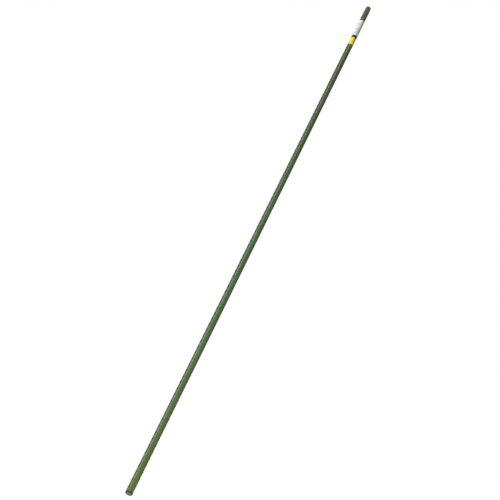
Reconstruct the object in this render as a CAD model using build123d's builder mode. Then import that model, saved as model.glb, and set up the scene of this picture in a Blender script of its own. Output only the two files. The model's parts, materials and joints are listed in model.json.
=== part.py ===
from build123d import *
import os
from math import acos, atan, atan2, ceil, degrees, floor, hypot

# Garden stake: a seam-welded steel tube in a nubbed plastic coat, closed by two ribbed plugs,
# with a film label wrapped round its upper end. Millimetres, +Z from the ground tip to the top.

# Stake
stake_length = 1800.0  # lowest point of the ground tip to the crown of the top cap
coat_diameter = 16.0  # over the smooth coat, between the nubs
coat_wall = 0.8
tube_wall = 0.6
seam_width = 1.2  # weld bead along the inside of the tube
seam_height = 0.25

# Nubs on the coat
nub_rows = 3
nub_pitch = 17.61  # from one nub to the next in a row
nub_length = 4.6  # along the stake, where the nub leaves the coat
nub_width = 2.4  # round the stake
nub_height = 0.8
nub_draw = 0.4  # how far each side leans in from the coat to the nub's top
nub_root = 0.4  # how far a nub reaches into the coat
nub_margin = 12.2  # least distance from an end of the coat to the middle of a nub
first_row_angle = -150.0

# End plugs
head_step = 0.25  # a plug's head lies this far inside the coat's surface
cap_collar = 8.0
cap_dome = 6.0
cap_corner = 1.6  # rounding between a head's collar and the cone of its crown
cap_flat = 4.0  # radius where the cone meets the flat middle of the crown
cap_spigot = 24.0
tip_collar = 0.6
tip_dome = 1.2
tip_corner = 0.8
tip_flat = 6.9
tip_spigot = 32.0
rib_count = 4
rib_width = 1.2
rib_height = 0.8
rib_clearance = 0.05  # between a rib and the tube's bore
spigot_wall = 1.8
rib_lead = 0.5  # chamfer at a rib's inner end

# Label
label_length = 123.0
label_from_top = 80.0  # crown of the cap to the label's upper edge
label_film = 0.15
label_overlap = 8.0  # where one end of the film lies on the other
label_seam_angle = 30.0

# Worked out from the sizes above
coat_radius = coat_diameter / 2
tube_radius = coat_radius - coat_wall
bore_radius = tube_radius - tube_wall
head_radius = coat_radius - head_step
rib_radius = bore_radius - rib_clearance
core_radius = rib_radius - rib_height
seam_angle = 180 / rib_count  # the bead lies midway between two ribs
body_bottom = tip_dome + tip_collar
body_top = stake_length - cap_dome - cap_collar
body_length = body_top - body_bottom
nub_slope = nub_draw / nub_height
label_radius = coat_radius + label_film
label_top = stake_length - label_from_top
label_bottom = label_top - label_length


# A nub, grown on every side by the film that lies over it. It stands on the XY plane, which is
# its root inside the coat.
def tapered_nub(film):
    growth = 2 * (nub_root * nub_slope + film)
    with BuildPart() as nub:
        with BuildSketch():
            Rectangle(nub_length + growth, nub_width + growth)
        extrude(amount=nub_root + nub_height + film, taper=degrees(atan(nub_slope)))
    return nub.part


# The planes of the nubs between two heights, at their roots. Each row starts a little above the
# one before it, so the nubs climb round the stake.
def nub_planes(low, high):
    planes = []
    for row in range(nub_rows):
        first = body_bottom + nub_margin + row * nub_pitch / nub_rows
        lowest = max(0, ceil((low - first) / nub_pitch))
        highest = floor((min(high, body_top - nub_margin) - first) / nub_pitch)
        for step in range(lowest, highest + 1):
            level = Plane.XY.offset(first + step * nub_pitch)
            turned = level.rotated((0, 0, first_row_angle + row * 360 / nub_rows))
            root = turned.from_local_coords(Vector(coat_radius - nub_root, 0, 0))
            planes.append(Plane(root, x_dir=(0, 0, 1), z_dir=turned.x_dir))
    return planes


# A plug on its seat plane: a blunt head above it and a ribbed hollow spigot below. The head's
# corner turns until it points at the edge of the crown's flat middle.
def end_plug(seat, collar, dome, corner, flat, spigot):
    seat_axis = Axis(seat.origin, seat.z_dir)
    reach = flat - (head_radius - corner)
    corner_turn = degrees(atan2(dome, reach) - acos(corner / hypot(dome, reach)))
    with BuildPart() as plug:
        with BuildSketch(Plane(seat.origin, x_dir=seat.x_dir, z_dir=-seat.y_dir)):
            with BuildLine():
                Polyline((0, 0), (head_radius, 0), (head_radius, collar))
                shoulder = JernArc((head_radius, collar), (0, 1), corner, corner_turn)
                Polyline(shoulder @ 1, (flat, collar + dome), (0, collar + dome), (0, 0))
            make_face()
        revolve(axis=seat_axis)
        with BuildSketch(seat):
            with PolarLocations(rib_radius / 2, rib_count):
                Rectangle(rib_radius, rib_width)
            Circle(rib_radius, mode=Mode.INTERSECT)
            Circle(core_radius)
            Circle(core_radius - spigot_wall, mode=Mode.SUBTRACT)
        extrude(amount=-spigot)
        inner_end = plug.faces().sort_by(seat_axis)[0]
        rib_ends = inner_end.edges().filter_by(GeomType.CIRCLE).group_by(SortBy.RADIUS)[-1]
        chamfer(rib_ends, rib_lead)
    return plug.part


os.makedirs("parts", exist_ok=True)

# Core tube, with the weld bead along its bore
with BuildPart() as steel_tube:
    with BuildSketch(Plane.XY.offset(body_bottom).rotated((0, 0, seam_angle))):
        Circle(tube_radius)
        Circle(bore_radius, mode=Mode.SUBTRACT)
        with Locations((bore_radius, 0)):
            Rectangle(2 * seam_height, seam_width)
    extrude(amount=body_length)
steel_tube.part.label = "steel_tube"
export_step(steel_tube.part, "parts/steel_tube.step")

# Coat, with its climbing rows of nubs
with BuildPart() as plastic_coat:
    with BuildSketch(Plane.XY.offset(body_bottom)):
        Circle(coat_radius)
        Circle(tube_radius, mode=Mode.SUBTRACT)
    extrude(amount=body_length)
    with Locations(*nub_planes(body_bottom, body_top)):
        add(tapered_nub(0))
plastic_coat.part.label = "plastic_coat"
export_step(plastic_coat.part, "parts/plastic_coat.step")

# End plugs
cap_seat = Plane.XY.offset(body_top)
top_cap = end_plug(cap_seat, cap_collar, cap_dome, cap_corner, cap_flat, cap_spigot)
top_cap.label = "top_cap"
export_step(top_cap, "parts/top_cap.step")

tip_seat = -Plane.XY.offset(body_bottom)
ground_tip = end_plug(tip_seat, tip_collar, tip_dome, tip_corner, tip_flat, tip_spigot)
ground_tip.label = "ground_tip"
export_step(ground_tip, "parts/ground_tip.step")

# Film label: it overlaps itself at the back and goes over the nubs under it
label_nubs = nub_planes(label_bottom - nub_length, label_top + nub_length)
with BuildPart() as wrap_label:
    with BuildSketch(Plane.XY.offset(label_bottom)):
        Circle(label_radius)
        Circle(coat_radius, mode=Mode.SUBTRACT)
    extrude(amount=label_length)
    with BuildSketch(Plane.XY.offset(label_bottom).rotated((0, 0, label_seam_angle))):
        Circle(label_radius + label_film)
        Circle(coat_radius, mode=Mode.SUBTRACT)
        with Locations((label_radius, 0)):
            Rectangle(label_radius, label_overlap, mode=Mode.INTERSECT)
    extrude(amount=label_length)
    with Locations(*label_nubs):
        add(tapered_nub(label_film))
    with BuildSketch(Plane.XY.offset(label_bottom)):
        Circle(coat_diameter)
        Circle(coat_radius, mode=Mode.SUBTRACT)
    extrude(amount=label_length, mode=Mode.INTERSECT)
    with Locations(*label_nubs):
        add(tapered_nub(0), mode=Mode.SUBTRACT)
wrap_label.part.label = "wrap_label"
export_step(wrap_label.part, "parts/wrap_label.step")
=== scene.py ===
import json
import math

import bmesh
import bpy
from mathutils import Matrix, Vector


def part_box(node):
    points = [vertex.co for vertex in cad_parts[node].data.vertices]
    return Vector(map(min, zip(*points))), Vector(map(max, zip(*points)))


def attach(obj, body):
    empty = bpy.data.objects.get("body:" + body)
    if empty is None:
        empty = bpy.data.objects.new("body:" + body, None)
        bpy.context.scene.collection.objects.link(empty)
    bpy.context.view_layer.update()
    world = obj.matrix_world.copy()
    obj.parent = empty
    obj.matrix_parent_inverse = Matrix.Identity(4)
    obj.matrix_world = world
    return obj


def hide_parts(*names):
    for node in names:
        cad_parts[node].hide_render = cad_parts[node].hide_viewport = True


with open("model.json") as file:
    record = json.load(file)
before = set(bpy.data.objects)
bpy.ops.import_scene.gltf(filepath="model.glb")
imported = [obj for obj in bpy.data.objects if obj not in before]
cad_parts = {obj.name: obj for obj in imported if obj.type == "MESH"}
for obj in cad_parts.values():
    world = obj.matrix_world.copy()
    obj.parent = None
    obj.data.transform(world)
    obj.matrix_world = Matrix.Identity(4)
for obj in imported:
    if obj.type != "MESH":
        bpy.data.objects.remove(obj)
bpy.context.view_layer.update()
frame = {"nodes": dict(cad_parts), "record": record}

# Sizes that several pieces share, read from the frame
mm = 0.001
mounts = {mount["name"]: mount for mount in frame["record"]["mounts"]}
coatRadius = mounts["tie_shaft"]["dims"]["r_mm"] * mm
headRadius = mounts["top_end"]["dims"]["r_mm"] * mm
collarHeight = mounts["top_end"]["dims"]["length_mm"] * mm
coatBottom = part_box("plastic_coat")[0].z
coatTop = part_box("plastic_coat")[1].z
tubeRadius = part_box("steel_tube")[1].x
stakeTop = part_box("top_cap")[1].z
print("frame loaded, coat from", round(coatBottom, 4), "to", round(coatTop, 4))

# How the nubs climb the coat; the grime and the label follow them too
nubs = {
    "rows": 3,
    "pitch": 17.61 * mm,  # from one nub to the next in a row
    "margin": 12.2 * mm,  # from the coat's ends to the middle of a nub
    "firstAngle": -150.0,  # degrees
    "length": 4.6 * mm,  # along the stake
    "width": 2.4 * mm,
    "height": 0.8 * mm,
    "sink": 0.25 * mm,  # root inside the coat
}
nubClimb = nubs["pitch"] / nubs["rows"]
nubTurn = 2 * math.pi / nubs["rows"]
nubStart = math.radians(nubs["firstAngle"])
nubFirst = coatBottom + nubs["margin"]
nubLast = coatTop - nubs["margin"]


class Wire:  # one socket, so that node maths reads as plain sums
    def __init__(self, board, socket):
        self.board = board
        self.socket = socket

    def other(self, name):  # another output of the same node
        return Wire(self.board, findSocket(self.socket.node.outputs, name))

    def maths(self, operation, *others):  # this wire is the first value
        return self.board.maths(operation, self, *others)

    def __add__(self, value):
        return self.board.maths("ADD", self, value)

    def __radd__(self, value):
        return self.board.maths("ADD", value, self)

    def __sub__(self, value):
        return self.board.maths("SUBTRACT", self, value)

    def __rsub__(self, value):
        return self.board.maths("SUBTRACT", value, self)

    def __mul__(self, value):
        return self.board.maths("MULTIPLY", self, value)

    def __rmul__(self, value):
        return self.board.maths("MULTIPLY", value, self)

    def __truediv__(self, value):
        return self.board.maths("DIVIDE", self, value)

    def __rtruediv__(self, value):
        return self.board.maths("DIVIDE", value, self)

    def __pow__(self, value):
        return self.board.maths("POWER", self, value)

    def __rpow__(self, value):
        return self.board.maths("POWER", value, self)

    def __gt__(self, value):
        return self.board.maths("GREATER_THAN", self, value)

    def __lt__(self, value):
        return self.board.maths("LESS_THAN", self, value)

    def floor(self):
        return self.maths("FLOOR")

    def larger(self, value):
        return self.maths("MAXIMUM", value)

    def between(self, low, high):  # low where this is 0, high where it is 1
        return low + self * (high - low)

    def about(self, middle, spread):  # a pattern from 0 to 1 made to vary about a value
        return middle + (self - 0.5) * spread

    def ramp(self, low, high):  # 0 at low, 1 at high, smooth between and level beyond
        settings = {"interpolation_type": "SMOOTHSTEP"}
        inputs = {"Value": self, "From Min": low, "From Max": high}
        return self.board.add("ShaderNodeMapRange", settings, inputs)


class Board:  # a node tree that nodes are added to
    def __init__(self, tree):
        self.tree = tree

    def add(self, kind, settings=None, inputs=None, output=0):
        node = self.tree.nodes.new(kind)
        for name, value in (settings or {}).items():
            setattr(node, name, value)
        for name, value in (inputs or {}).items():
            self.feed(findSocket(node.inputs, name), value)
        return Wire(self, findSocket(node.outputs, output)) if node.outputs else node

    def feed(self, socket, value):
        for part in value if isinstance(value, list) else [value]:
            if isinstance(part, Wire):
                self.tree.links.new(part.socket, socket)
            else:
                socket.default_value = part

    def maths(self, operation, *values):
        return self.add("ShaderNodeMath", {"operation": operation}, dict(enumerate(values)))

    def mixColour(self, factor, first, second):
        inputs = {"Factor_Float": factor, "A_Color": first, "B_Color": second}
        return self.add("ShaderNodeMix", {"data_type": "RGBA"}, inputs, "Result_Color")

    def noise(self, place, scale, detail, roughness=0.5):  # three scales stretch it
        if isinstance(scale, tuple):
            place = self.add("ShaderNodeMapping", {}, {"Vector": place, "Scale": scale})
            scale = 1.0
        inputs = {"Vector": place, "Scale": scale, "Detail": detail, "Roughness": roughness}
        return self.add("ShaderNodeTexNoise", {}, inputs)

    def bump(self, height, strength, depth):
        inputs = {"Strength": strength, "Distance": depth, "Height": height}
        return self.add("ShaderNodeBump", {}, inputs)

    def apart(self, place):  # the X of a place, with its Y and Z as other outputs
        return self.add("ShaderNodeSeparateXYZ", {}, {"Vector": place})


def findSocket(sockets, key):
    if isinstance(key, int):
        return sockets[key]
    return next(socket for socket in sockets if key in (socket.identifier, socket.name))


def fromAxis(across):  # distance from the stake's middle line
    return (across * across + across.other("Y") * across.other("Y")) ** 0.5


def paint(red, green, blue):  # screen colour, 0 to 255, as the linear colour that nodes take
    def linear(value):
        share = value / 255
        return share / 12.92 if share <= 0.04045 else ((share + 0.055) / 1.055) ** 2.4
    return (linear(red), linear(green), linear(blue), 1.0)


# Materials: one starter, then one function for each finish
def newFinish(name):
    material = bpy.data.materials.new(name)
    material.use_nodes = True
    material.node_tree.nodes.clear()
    board = Board(material.node_tree)
    shader = board.add("ShaderNodeBsdfPrincipled")
    board.add("ShaderNodeOutputMaterial", {}, {"Surface": shader})
    place = board.add("ShaderNodeTexCoord", {}, {}, "Object")
    return material, board, shader.socket.node, place


def finishShader(board, shader, inputs):
    for name, value in inputs.items():
        board.feed(shader.inputs[name], value)


# In the finishes, a span is where something starts and where it is full
greenCoat = {
    "streaks": {"scale": (420, 420, 9), "detail": 4.0, "roughness": 0.6},  # drawn out by the die
    "clouds": {"scale": (60, 60, 14), "detail": 3.0},
    "grain": {"scale": 2600.0, "detail": 2.0},
    "deep": paint(72, 100, 62),
    "pale": paint(85, 114, 76),
    "streakShare": 0.55,  # of the tone, the rest being clouds
    "toneSpan": (0.36, 0.64),
    "olive": paint(72, 90, 36),  # towards the ground end
    "oliveSpan": (0.65, 0.05),  # heights
    "dull": paint(71, 85, 46),  # towards the top: painted shade, and a greyer green
    "topShadeSpan": (0.75, 1.3),  # heights
    "endShare": 0.8,  # of olive at the ground end, or of the painted shade at the top
    "shadeAndGrime": paint(44, 56, 36),  # painted shade on the nubs and painted shadows below them, and grime in the joint with the tip
    "shadeAndGrimeShare": 0.8,
    "nubShadeSpan": (0.0, 0.2),  # shares of a nub's height, above which the nub is painted in shade
    "jointSpan": (1.6 * mm, 0.2 * mm),  # heights above the joint
    "nubShadow": {"along": 5.2 * mm, "round": 4.2 * mm, "drop": 1.4 * mm},  # painted shadow below a nub
    "nubShadowShare": (0.6, 1.0),  # between the clouds and in them
    "shadowSideSpan": (0.5, -0.5),  # across the stake, in its radii
    "otherSideShare": 0.2,  # share of the painted shadows on the stake's +X side
    "worn": paint(104, 120, 90),  # rubbed nub crowns
    "crownSpan": (0.8, 1.0),  # shares of a nub's height
    "rubbedClouds": 0.5,
    "rubbedGrain": 0.3,
    "reliefGrain": 0.5,
    "reliefStreaks": 0.8,
    "bump": {"strength": 0.25, "depth": 0.06 * mm},
    "sheen": (0.25, 0.5),  # share of a thin clear layer, at the top and at the ground end
    "sheenSpan": (0.6, 0.0),  # heights
    "unrubbed": 1.15,  # times the sheen, where no crown is rubbed
    "roughness": 0.22,
    "uneven": 0.18,
    "rubbedRoughness": 0.15,
}


# Nearness to the nearest nub, from 0 to 1: its row is found by angle, then its place in the row
def nearNub(across, nubShadow):
    turned = across.other("Y").maths("ARCTAN2", across) - nubStart
    row = (turned / nubTurn + 0.5).floor()
    aside = (turned - row * nubTurn) * (coatRadius / nubShadow["round"])
    step = (across.other("Z") + nubShadow["drop"] - nubFirst - row * nubClimb) / nubs["pitch"] + 0.5
    along = (step - step.floor() - 0.5) * (nubs["pitch"] / nubShadow["along"])
    nubHeight = nubFirst + row * nubClimb + step.floor() * nubs["pitch"]
    real = (nubHeight > nubFirst - nubClimb / 2) * (nubHeight < nubLast)
    return (aside * aside + along * along).ramp(1.0, 0.0) * real


def greenPlastic():
    material, board, shader, place = newFinish("greenPlastic")
    across = board.apart(place)
    alongStake = across.other("Z")
    nubRise = (fromAxis(across) - coatRadius) / nubs["height"]  # 0 on the coat, 1 on a crown
    streaks = board.noise(place, **greenCoat["streaks"])
    clouds = board.noise(place, **greenCoat["clouds"])
    grain = board.noise(place, **greenCoat["grain"])

    # Green, uneven from the die and changing along the stake, and darker towards the top as painted
    # shade
    tone = streaks * greenCoat["streakShare"] + clouds * (1 - greenCoat["streakShare"])
    tone = tone.ramp(*greenCoat["toneSpan"])
    green = board.mixColour(tone, greenCoat["deep"], greenCoat["pale"])
    lowEnd = alongStake.ramp(*greenCoat["oliveSpan"]) * greenCoat["endShare"]
    green = board.mixColour(lowEnd, green, greenCoat["olive"])
    # painted shade: a darker, greyer green towards the top
    topShade = alongStake.ramp(*greenCoat["topShadeSpan"]) * greenCoat["endShare"]
    green = board.mixColour(topShade, green, greenCoat["dull"])

    # Painted shade on the nubs above their feet, painted shadows below them mostly on the -X side,
    # grime in the joint, and crowns rubbed pale
    # foot: the nubs above their feet, painted in shade
    foot = nubRise.ramp(*greenCoat["nubShadeSpan"])
    joint = (alongStake - coatBottom).ramp(*greenCoat["jointSpan"])
    # painted shadows below the nubs, strongest on the -X side
    shadowSide = (across / coatRadius).ramp(*greenCoat["shadowSideSpan"]).between(greenCoat["otherSideShare"], 1)
    patches = clouds.between(*greenCoat["nubShadowShare"])
    nubShadow = nearNub(across, greenCoat["nubShadow"]) * patches * shadowSide
    shadeAndDirt = (foot.larger(joint) * greenCoat["shadeAndGrimeShare"]).larger(nubShadow)
    green = board.mixColour(shadeAndDirt, green, greenCoat["shadeAndGrime"])
    wear = clouds * greenCoat["rubbedClouds"] + grain * greenCoat["rubbedGrain"]
    rubbed = nubRise.ramp(*greenCoat["crownSpan"]) * wear

    rough = streaks.about(greenCoat["roughness"], greenCoat["uneven"])
    relief = grain * greenCoat["reliefGrain"] + streaks * greenCoat["reliefStreaks"]
    sheen = alongStake.ramp(*greenCoat["sheenSpan"]).between(*greenCoat["sheen"])
    finishShader(board, shader, {
        "Base Color": board.mixColour(rubbed, green, greenCoat["worn"]),
        "Roughness": rough + rubbed * greenCoat["rubbedRoughness"],
        "Normal": board.bump(relief, **greenCoat["bump"]),
        "Specular IOR Level": 0.0,  # only the clear layer shines
        # the clear layer is taken off where the nub shadows are painted
        "Coat Weight": sheen * (greenCoat["unrubbed"] - rubbed) * (1 - nubShadow),
        "Coat Roughness": greenCoat["roughness"],
    })
    return material


greyPlug = {
    "clouds": {"scale": 180.0, "detail": 4.0, "roughness": 0.6},
    "grain": {"scale": 3200.0, "detail": 2.0},
    "scratches": {"scale": (260, 1500, 420), "detail": 5.0, "roughness": 0.7},
    "dark": paint(88, 94, 88),
    "light": paint(110, 116, 110),
    "toneSpan": (0.35, 0.65),
    "top": paint(46, 51, 45),  # darker towards the cap: painted shade
    "capShadeSpan": (0.6, 1.2),  # heights, both between the tip and the cap
    "capShadeShare": 0.9,
    "scuff": paint(138, 143, 138),
    "scuffSpan": (0.6, 0.72),
    "scuffShare": 0.5,
    "darkRim": paint(24, 25, 21),  # darker ring on the rim of the tip
    "rimSpan": (3.8 * mm, 1.2 * mm),  # in from the head's edge
    "darkRimSpan": (0.9, 0.6),  # heights, both between the cap and the tip
    "darkRimShare": (0.7, 1.2),  # between the clouds and in them
    "bump": {"strength": 0.3, "depth": 0.05 * mm},
    "specular": 0.35,
    "roughness": 0.42,
    "uneven": 0.2,
    "scuffRoughness": 0.2,
}


def greyPlastic():
    material, board, shader, place = newFinish("greyPlastic")
    clouds = board.noise(place, **greyPlug["clouds"])
    grain = board.noise(place, **greyPlug["grain"])
    scratches = board.noise(place, **greyPlug["scratches"])
    across = board.apart(place)
    alongStake = across.other("Z")
    tone = clouds.ramp(*greyPlug["toneSpan"])
    grey = board.mixColour(tone, greyPlug["dark"], greyPlug["light"])
    # painted shade: darker towards the cap
    capShade = alongStake.ramp(*greyPlug["capShadeSpan"]) * greyPlug["capShadeShare"]
    grey = board.mixColour(capShade, grey, greyPlug["top"])
    scuffs = scratches.ramp(*greyPlug["scuffSpan"]) * greyPlug["scuffShare"]
    grey = board.mixColour(scuffs, grey, greyPlug["scuff"])
    rim = (headRadius - fromAxis(across)).ramp(*greyPlug["rimSpan"])
    onTip = alongStake.ramp(*greyPlug["darkRimSpan"])
    darkRim = rim * onTip * clouds.between(*greyPlug["darkRimShare"])
    rough = clouds.about(greyPlug["roughness"], greyPlug["uneven"])
    finishShader(board, shader, {
        "Base Color": board.mixColour(darkRim, grey, greyPlug["darkRim"]),
        "Roughness": rough + scuffs * greyPlug["scuffRoughness"],
        "Normal": board.bump(grain + scratches, **greyPlug["bump"]),
        "Specular IOR Level": greyPlug["specular"],
    })
    return material


labelPrint = {
    "clouds": {"scale": 70.0, "detail": 3.0},
    "inkGrain": {"scale": 2200.0, "detail": 2.0},
    "shade": paint(202, 203, 196),  # uneven ink and film
    "white": paint(216, 216, 208),
    "toneSpan": (0.3, 0.7),
    "yellow": paint(230, 200, 68),
    "dark": paint(36, 25, 11),
    "yellowHeight": 34 * mm,  # from the label's lower edge
    "lineHeight": 12 * mm,  # dark band between the fields
    "edge": 0.25 * mm,  # either side of a change of colour
    "bump": {"strength": 0.15, "depth": 0.04 * mm},
    "specular": 0.12,
    "roughness": 0.3,
    "uneven": 0.2,
    "inkRoughness": 0.08,
}


def labelFilm():
    material, board, shader, place = newFinish("labelFilm")
    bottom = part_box("wrap_label")[0].z
    height = board.apart(place).other("Z") - bottom
    clouds = board.noise(place, **labelPrint["clouds"])
    inkGrain = board.noise(place, **labelPrint["inkGrain"])
    yellowTop = labelPrint["yellowHeight"]
    lineTop = yellowTop + labelPrint["lineHeight"]
    edge = labelPrint["edge"]
    tone = clouds.ramp(*labelPrint["toneSpan"])
    white = board.mixColour(tone, labelPrint["shade"], labelPrint["white"])
    aboveYellow = height.ramp(yellowTop - edge, yellowTop + edge)
    aboveLine = height.ramp(lineTop - edge, lineTop + edge)
    lower = board.mixColour(aboveYellow, labelPrint["yellow"], labelPrint["dark"])
    rough = clouds.about(labelPrint["roughness"], labelPrint["uneven"])
    finishShader(board, shader, {
        "Base Color": board.mixColour(aboveLine, lower, white),
        "Roughness": rough + inkGrain * labelPrint["inkRoughness"],
        "Normal": board.bump(inkGrain + clouds, **labelPrint["bump"]),
        "Specular IOR Level": labelPrint["specular"],
    })
    return material


millSteel = {
    "drawn": {"scale": (900, 900, 12), "detail": 4.0, "roughness": 0.6},
    "spangle": {"scale": 240.0, "detail": 2.0},
    "dull": paint(142, 146, 150),
    "bright": paint(184, 187, 190),
    "drawnShare": 0.6,  # of the tone, the rest being spangle
    "toneSpan": (0.35, 0.65),
    "bump": {"strength": 0.2, "depth": 0.04 * mm},
    "roughness": 0.4,
    "uneven": 0.25,
}


def steelFinish():
    material, board, shader, place = newFinish("millSteel")
    drawn = board.noise(place, **millSteel["drawn"])
    spangle = board.noise(place, **millSteel["spangle"])
    tone = drawn * millSteel["drawnShare"] + spangle * (1 - millSteel["drawnShare"])
    tone = tone.ramp(*millSteel["toneSpan"])
    finishShader(board, shader, {
        "Base Color": board.mixColour(tone, millSteel["dull"], millSteel["bright"]),
        "Metallic": 1.0,
        "Roughness": drawn.about(millSteel["roughness"], millSteel["uneven"]),
        "Normal": board.bump(drawn, **millSteel["bump"]),
    })
    return material


finishes = {
    "green_plastic": greenPlastic(),
    "grey_plastic": greyPlastic(),
    "label_film": labelFilm(),
    "steel": steelFinish(),
}
print("finishes made:", ", ".join(finishes))


# Helpers for objects and meshes
def addObject(name, data):
    made = bpy.data.objects.new(name, data)
    bpy.context.scene.collection.objects.link(made)
    return made


def shadedMesh(name, shape):  # a bmesh as a smooth mesh
    for face in shape.faces:
        face.smooth = True
    mesh = bpy.data.meshes.new(name)
    shape.to_mesh(mesh)
    shape.free()
    return mesh


def arc(centre, radii, start, end, steps):  # points of an elliptic arc, in degrees, ends included
    points = []
    for step in range(steps + 1):
        angle = math.radians(start + (end - start) * step / steps)
        points.append((centre[0] + radii[0] * math.cos(angle), centre[1] + radii[1] * math.sin(angle)))
    return points


# A profile of (radius, height) points turned round the axis. A point on the axis is one vertex.
# reach(angle, index) may push a point of the profile outwards, for ribs.
def latheMesh(name, profile, segments, closed, reach=None):
    shape = bmesh.new()
    rings = []
    for index, (radius, height) in enumerate(profile):
        if radius == 0:
            rings.append([shape.verts.new((0, 0, height))] * segments)
            continue
        ring = []
        for step in range(segments):
            angle = 2 * math.pi * step / segments
            wide = radius + (reach(angle, index) if reach else 0)
            ring.append(shape.verts.new((wide * math.cos(angle), wide * math.sin(angle), height)))
        rings.append(ring)
    following = rings[1:] + rings[:1] if closed else rings[1:]
    for low, high in zip(rings, following):
        for step in range(segments):
            after = (step + 1) % segments
            corners = [low[step], low[after], high[after], high[step]]
            shape.faces.new(list(dict.fromkeys(corners)))
    bmesh.ops.recalc_face_normals(shape, faces=shape.faces)
    return shadedMesh(name, shape)


def bakeModifiers(piece):  # the evaluated mesh replaces the modifiers
    graph = bpy.context.evaluated_depsgraph_get()
    baked = bpy.data.meshes.new_from_object(piece.evaluated_get(graph))
    piece.modifiers.clear()
    piece.data = baked


def settle(piece, node, slot):  # finish, body and slot of a piece that stands for a node
    piece.data.materials.clear()
    piece.data.materials.append(finishes[slot])
    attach(piece, "root")
    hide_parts(node)
    print(piece.name, "made,", len(piece.data.polygons), "faces")


# Coat: a cut sleeve with nubs set along one helix by a node tree
coat = {
    "segments": 64,
    "bands": 60,  # rings along the sleeve
    "edge": 0.25 * mm,  # rounding of the cut ends
    "edgeSteps": 3,
}
stud = {  # the form of one nub
    "sides": 12,
    "bands": 3,
    "square": 0.6,  # 0 leaves its outline an ellipse, 1 makes it a rectangle
    "root": 1.1,  # share of its size at the root
    "taper": 0.25,  # share lost on the way up
    "shoulder": 0.2,  # share lost besides, near the crown
    "shoulderSpan": (0.6, 1.0),  # shares of its height
    "dome": 0.14,  # share of its height that the crown's middle stands above its edge
}


def sleeveProfile():
    edge = coat["edge"]
    steps = coat["edgeSteps"]
    bands = coat["bands"]
    low = arc((coatRadius - edge, coatBottom + edge), (edge, edge), -90, 0, steps)
    high = arc((coatRadius - edge, coatTop - edge), (edge, edge), 0, 90, steps)
    span = coatTop - coatBottom - 2 * edge
    middle = [(coatRadius, coatBottom + edge + span * band / bands) for band in range(1, bands)]
    return [(tubeRadius, coatBottom)] + low + middle + high + [(tubeRadius, coatTop)]


# One nub: a short cylinder of radius and height 1, drawn into a rounded, flared stud
def nubShape(board, given):
    blank = board.add("GeometryNodeMeshCylinder", {"fill_type": "TRIANGLE_FAN"}, {
        "Vertices": stud["sides"],
        "Side Segments": stud["bands"],
        "Radius": 1.0,
        "Depth": 1.0,
    })
    spot = board.apart(board.add("GeometryNodeInputPosition"))
    rise = spot.other("Z") + 0.5  # 0 at the root, 1 at the crown
    widest = spot.maths("ABSOLUTE").larger(spot.other("Y").maths("ABSOLUTE"))
    offCentre = spot * spot + spot.other("Y") * spot.other("Y")
    roundness = widest.larger(0.01) / (offCentre + 0.0001) ** 0.5  # both kept off 0
    shoulder = stud["shoulder"] * rise.ramp(*stud["shoulderSpan"])
    wide = roundness ** -stud["square"] * (stud["root"] - stud["taper"] * rise - shoulder)
    tall = given.other("Height") + given.other("Sink")
    domed = 1 - stud["dome"] + stud["dome"] * (1 - offCentre)
    shaped = board.add("ShaderNodeCombineXYZ", {}, {
        "X": spot * wide * given.other("Length") * 0.5,
        "Y": spot.other("Y") * wide * given.other("Width") * 0.5,
        "Z": rise * tall * domed - given.other("Sink"),
    })
    return board.add("GeometryNodeSetPosition", {}, {"Geometry": blank, "Position": shaped})


def nubTree(sizes):
    tree = bpy.data.node_groups.new("nubsOnCoat", "GeometryNodeTree")
    board = Board(tree)
    tree.interface.new_socket("Coat", in_out="INPUT", socket_type="NodeSocketGeometry")
    for name in sizes:
        tree.interface.new_socket(name, in_out="INPUT", socket_type="NodeSocketFloat")
    tree.interface.new_socket("Finish", in_out="INPUT", socket_type="NodeSocketMaterial")
    tree.interface.new_socket("Nubbed Coat", in_out="OUTPUT", socket_type="NodeSocketGeometry")
    given = board.add("NodeGroupInput")
    nub = nubShape(board, given)

    # Places along the helix, each with the nub's long side upright and its crown outwards
    count = ((given.other("Last") - given.other("First")) / given.other("Climb")).floor() + 1
    step = board.add("GeometryNodeInputIndex")
    angle = given.other("Start") + step * given.other("Turn")
    place = board.add("ShaderNodeCombineXYZ", {}, {
        "X": given.other("Radius") * angle.maths("COSINE"),
        "Y": given.other("Radius") * angle.maths("SINE"),
        "Z": given.other("First") + step * given.other("Climb"),
    })
    points = board.add("GeometryNodePoints", {}, {"Count": count, "Position": place})
    turned = board.add("ShaderNodeCombineXYZ", {}, {"Y": math.pi / 2, "Z": angle})
    facing = board.add("FunctionNodeEulerToRotation", {}, {"Euler": turned})
    setting = {"Points": points, "Instance": nub, "Rotation": facing}
    studs = board.add("GeometryNodeInstanceOnPoints", {}, setting)
    whole = board.add("GeometryNodeJoinGeometry", {}, {"Geometry": [given.other("Coat"), studs]})
    solid = board.add("GeometryNodeRealizeInstances", {}, {"Geometry": whole})
    smooth = board.add("GeometryNodeSetShadeSmooth", {}, {"Geometry": solid})
    dressed = {"Geometry": smooth, "Material": given.other("Finish")}
    coated = board.add("GeometryNodeSetMaterial", {}, dressed)
    board.add("NodeGroupOutput", {}, {"Nubbed Coat": coated})
    return tree


def makeCoat():
    piece = addObject("nubbed_coat", latheMesh("nubbed_coat", sleeveProfile(), coat["segments"], True))
    sizes = {
        "Radius": coatRadius,
        "First": nubFirst,
        "Last": nubLast,
        "Climb": nubClimb,
        "Turn": nubTurn,
        "Start": nubStart,
        "Length": nubs["length"],
        "Width": nubs["width"],
        "Height": nubs["height"],
        "Sink": nubs["sink"],
    }
    modifier = piece.modifiers.new("nubs", "NODES")
    modifier.node_group = nubTree(sizes)
    values = {**sizes, "Finish": finishes["green_plastic"]}
    for item in modifier.node_group.interface.items_tree:
        if item.in_out == "INPUT" and item.name in values:
            modifier[item.identifier] = values[item.name]
    bakeModifiers(piece)
    settle(piece, "plastic_coat", "green_plastic")


makeCoat()


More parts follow.
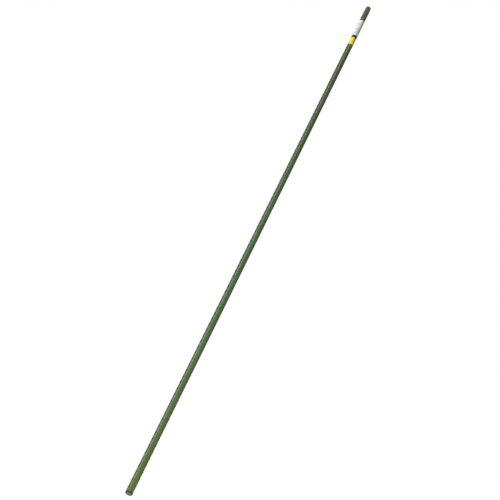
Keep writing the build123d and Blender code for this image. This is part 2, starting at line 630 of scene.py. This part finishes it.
# End plugs: a head on a ribbed hollow spigot. The cap is domed, the tip flat with a round rim.
plug = {
    "segments": 96,
    "headSteps": 18,
    "tipRim": 0.9 * mm,
    "flatRing": 0.9,  # a ring on the flat of the tip, as a share of its radius
    "seatEdge": 0.2 * mm,
    "seatSteps": 3,
    "ribs": 4,
    "ribWidth": 1.2 * mm,
    "ribHeight": 0.8 * mm,
    "ribReach": 0.55,  # share of the width, either way, whose vertices stand out
    "tubeWall": 0.6 * mm,
    "ribClearance": 0.05 * mm,
    "wall": 1.8 * mm,
}


def makePlug(name, node, seat, crown, rounding, inner):
    side = 1 if crown > seat else -1
    ribRadius = tubeRadius - plug["tubeWall"] - plug["ribClearance"]
    coreRadius = ribRadius - plug["ribHeight"]
    boreRadius = coreRadius - plug["wall"]
    wide, tall = rounding
    flat = headRadius - wide
    edge = plug["seatEdge"]
    head = arc((flat, crown - side * tall), (wide, side * tall), 90, 0, plug["headSteps"])
    if flat > 0:
        head = [(0, crown), (flat * plug["flatRing"], crown)] + head
    else:
        head[0] = (0, crown)  # the middle of the dome, exactly on the axis
    foot = arc((headRadius - edge, seat + side * edge), (edge, side * edge), 0, -90, plug["seatSteps"])
    ribbed = {len(head) + len(foot), len(head) + len(foot) + 1}  # the spigot's outer wall
    spigot = [(coreRadius, seat), (coreRadius, inner), (boreRadius, inner), (boreRadius, seat)]
    profile = head + foot + spigot + [(0, seat)]

    def ribReach(angle, index):
        if index not in ribbed:
            return 0
        spacing = 2 * math.pi / plug["ribs"]
        offset = (angle + spacing / 2) % spacing - spacing / 2
        onRib = abs(offset) * ribRadius < plug["ribWidth"] * plug["ribReach"]
        return plug["ribHeight"] if onRib else 0

    piece = addObject(name, latheMesh(name, profile, plug["segments"], False, ribReach))
    settle(piece, node, "grey_plastic")


capDome = (headRadius, stakeTop - coatTop - collarHeight)
tipRim = (plug["tipRim"], plug["tipRim"])
makePlug("top_plug", "top_cap", coatTop, stakeTop, capDome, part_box("top_cap")[0].z)
makePlug("ground_plug", "ground_tip", coatBottom, 0.0, tipRim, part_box("ground_tip")[1].z)


# Label: one film wound round the coat, its end on its start, tented over the nubs
film = {
    "thickness": 0.15 * mm,
    "wall": 0.9,  # share of the thickness that is solid, so that it lies clear of the coat
    "overlap": 8 * mm,
    "lapRise": 0.25,  # share of the overlap in which the film climbs onto its start
    "seamAngle": 30.0,  # degrees
    "around": 168,
    "along": 180,
    "crown": 0.85 * mm,  # film on a nub's crown, either way round the stake
    "tentRise": 1.9 * mm,  # the same along the stake
    "tentFall": 2.4 * mm,  # from there down to the coat
    "slack": 0.03 * mm,  # shallow waves in the film
    "waves": ((5, 210), (-2, 330)),  # two that cross: waves in a turn, and radians in a metre along
}


def tentHeight(angle, height):  # how far the nubs hold the film off the coat
    tallest = 0.0
    for row in range(nubs["rows"]):
        first = nubFirst + row * nubClimb
        alongStake = (height - first + nubs["pitch"] / 2) % nubs["pitch"] - nubs["pitch"] / 2
        turn = (angle - nubStart - row * nubTurn + math.pi) % (2 * math.pi) - math.pi
        share = 1 - min(max((abs(alongStake) - film["tentRise"]) / film["tentFall"], 0), 1)
        peak = nubs["height"] * share * share * (3 - 2 * share)  # eased at both ends
        tangent = math.acos(coatRadius / (coatRadius + peak))
        aside = max(abs(turn) - film["crown"] / coatRadius, 0)
        if aside < tangent:
            tallest = max(tallest, coatRadius / math.cos(tangent - aside) - coatRadius)
    return tallest


def filmWave(angle, height):
    return math.prod(math.sin(angle * inTurn + height * along) for inTurn, along in film["waves"])


def makeLabel():
    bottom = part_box("wrap_label")[0].z
    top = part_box("wrap_label")[1].z
    lap = film["overlap"] / coatRadius
    rise = lap * film["lapRise"]
    start = math.radians(film["seamAngle"]) - lap / 2
    sweep = 2 * math.pi + lap
    shape = bmesh.new()
    rows = []
    for band in range(film["along"] + 1):
        height = bottom + (top - bottom) * band / film["along"]
        row = []
        for step in range(film["around"] + 1):
            angle = start + sweep * step / film["around"]
            onTop = min(max((angle - start - 2 * math.pi + rise) / rise, 0), 1)
            radius = coatRadius + film["thickness"] * (1 + onTop) + tentHeight(angle, height)
            radius += film["slack"] * (1 + filmWave(angle, height))
            row.append(shape.verts.new((radius * math.cos(angle), radius * math.sin(angle), height)))
        rows.append(row)
    for low, high in zip(rows, rows[1:]):
        for step in range(film["around"]):
            shape.faces.new((low[step], low[step + 1], high[step + 1], high[step]))
    piece = addObject("film_label", shadedMesh("film_label", shape))
    wall = piece.modifiers.new("film", "SOLIDIFY")
    wall.thickness = film["thickness"] * film["wall"]
    wall.offset = -1  # inwards
    bakeModifiers(piece)
    settle(piece, "wrap_label", "label_film")


makeLabel()

# Core tube: the frame's own mesh, with the mill finish
tube = frame["nodes"]["steel_tube"]
tube.data.materials.clear()
tube.data.materials.append(finishes["steel"])

# Stage: a pale floor that only shows from above
stage = {
    "size": 12.0,
    "drop": 0.5 * mm,  # below the tip
    "colour": paint(214, 214, 212),
    "mottle": {"scale": 3.0, "detail": 2.0},
    "roughness": 0.7,
    "uneven": 0.1,
    "lift": 0.7,  # share of plain white in what is seen of it
    "fade": (0.5, 2.4),  # distances between which the floor turns into the surround
}


def seenRays(board):  # 1 on rays that show the background, straight or in a reflection
    ray = board.add("ShaderNodeLightPath", {}, {}, "Is Camera Ray")
    return ray.larger(ray.other("Is Glossy Ray")).larger(ray.other("Is Transmission Ray"))


def makeFloor():
    half = stage["size"] / 2
    level = -stage["drop"]
    mesh = bpy.data.meshes.new("floor")
    corners = [(-half, -half, level), (half, -half, level), (half, half, level), (-half, half, level)]
    mesh.from_pydata(corners, [], [(0, 1, 2, 3)])
    floor = addObject("floor", mesh)
    floor.visible_shadow = False  # it takes shadows, and the low lamp shines through it
    material, board, shader, place = newFinish("paleFloor")
    mottle = board.noise(place, **stage["mottle"])
    finishShader(board, shader, {
        "Base Color": stage["colour"],
        "Roughness": mottle.about(stage["roughness"], stage["uneven"]),
    })
    far = fromAxis(board.apart(place)).ramp(*stage["fade"])
    gone = board.add("ShaderNodeNewGeometry", {}, {}, "Backfacing").larger(far)
    lift = seenRays(board) * stage["lift"]
    clear = board.add("ShaderNodeBsdfTransparent")
    white = board.add("ShaderNodeEmission", {}, {"Color": (1, 1, 1, 1), "Strength": 1.0})
    matt = Wire(board, shader.outputs["BSDF"])
    pale = board.add("ShaderNodeMixShader", {}, {0: lift, 1: matt, 2: white})
    oneSided = board.add("ShaderNodeMixShader", {}, {0: gone, 1: pale, 2: clear})
    output = next(node for node in board.tree.nodes if node.type == "OUTPUT_MATERIAL")
    board.feed(output.inputs["Surface"], oneSided)
    mesh.materials.append(material)


makeFloor()

# Light: a tall leaning strip for the sheen on the coat, a lamp in front, one behind, one behind to the
# right, one below the ground end and a white surround. Each lamp stands between its low and high point
# and faces the stake at the height of its aim.
lamps = {
    "strip": {
        "low": (-2.2, -0.8, 0.7),
        "high": (-0.6, -2.0, 4.3),
        "aim": 2.5,
        "width": 0.36,
        "watts": 70,
    },
    "front": {
        "low": (-0.4, -2.1, -0.85),
        "high": (-0.4, -2.1, -0.15),
        "aim": 0.0,
        "width": 0.9,
        "watts": 34,
    },
    "behind": {
        "low": (0.3, 2.4, 0.4),
        "high": (0.3, 2.4, 2.0),
        "aim": 1.2,
        "width": 1.2,
        "watts": 36,
    },
    "side": {
        "low": (1.6, 1.9, 0.4),
        "high": (1.6, 1.9, 2.0),
        "aim": 1.2,
        "width": 1.0,
        "watts": 26,
    },
    "below": {
        "low": (-0.2, -0.2, -0.9),
        "high": (-0.2, -0.7, -0.9),
        "aim": 0.0,
        "width": 0.5,
        "watts": 9,
    },
}
surround = {"ambient": 0.05, "backdrop": 1.0}  # light on the stake, and what is seen behind it


def makeLamps():
    for name, lamp in lamps.items():
        low, high = Vector(lamp["low"]), Vector(lamp["high"])
        middle = (low + high) / 2
        upwards = (high - low).normalized()
        inwards = Vector((0, 0, lamp["aim"])) - middle
        face = (inwards - upwards * inwards.dot(upwards)).normalized()
        light = bpy.data.lights.new(name, "AREA")
        light.shape = "RECTANGLE"
        light.size, light.size_y = lamp["width"], (high - low).length
        light.energy = lamp["watts"]
        turn = Matrix((upwards.cross(-face), upwards, -face)).transposed().to_4x4()
        addObject(name, light).matrix_world = Matrix.Translation(middle) @ turn


def makeSurround():
    world = bpy.data.worlds.new("studio")
    world.use_nodes = True
    world.node_tree.nodes.clear()
    board = Board(world.node_tree)
    strength = seenRays(board).between(surround["ambient"], surround["backdrop"])
    white = board.add("ShaderNodeBackground", {}, {"Color": (1, 1, 1, 1), "Strength": strength})
    board.add("ShaderNodeOutputWorld", {}, {"Surface": white})
    bpy.context.scene.world = world


makeLamps()
makeSurround()

# Camera: below the ground end and looking up the stake, rolled so that the stake leans in the picture
view = {
    "aimHeight": 0.7271,  # point of the stake in the middle of the picture
    "distance": 2.9172,
    "upwards": 41.0,  # degrees
    "lean": 26.245,  # degrees
    "aside": 2.3 * mm,  # camera, to its right
    "lens": 87.0,
    "clip": (0.01, 100),
}


def makeCamera():
    upwards = math.radians(view["upwards"])
    forward = Vector((0, math.cos(upwards), math.sin(upwards)))
    across = Vector((1, 0, 0))
    rise = across.cross(forward)
    lean = math.radians(view["lean"])
    right = across * math.cos(lean) + rise * math.sin(lean)
    up = rise * math.cos(lean) - across * math.sin(lean)
    camera = bpy.data.cameras.new("camera")
    camera.lens = view["lens"]
    camera.clip_start, camera.clip_end = view["clip"]
    turn = Matrix((right, up, -forward)).transposed().to_4x4()
    place = Vector((0, 0, view["aimHeight"])) - forward * view["distance"] + right * view["aside"]
    holder = addObject("camera", camera)
    holder.matrix_world = Matrix.Translation(place) @ turn
    bpy.context.scene.camera = holder


makeCamera()
bpy.context.scene.view_settings.view_transform = "Standard"
print("stage, lamps and camera set")
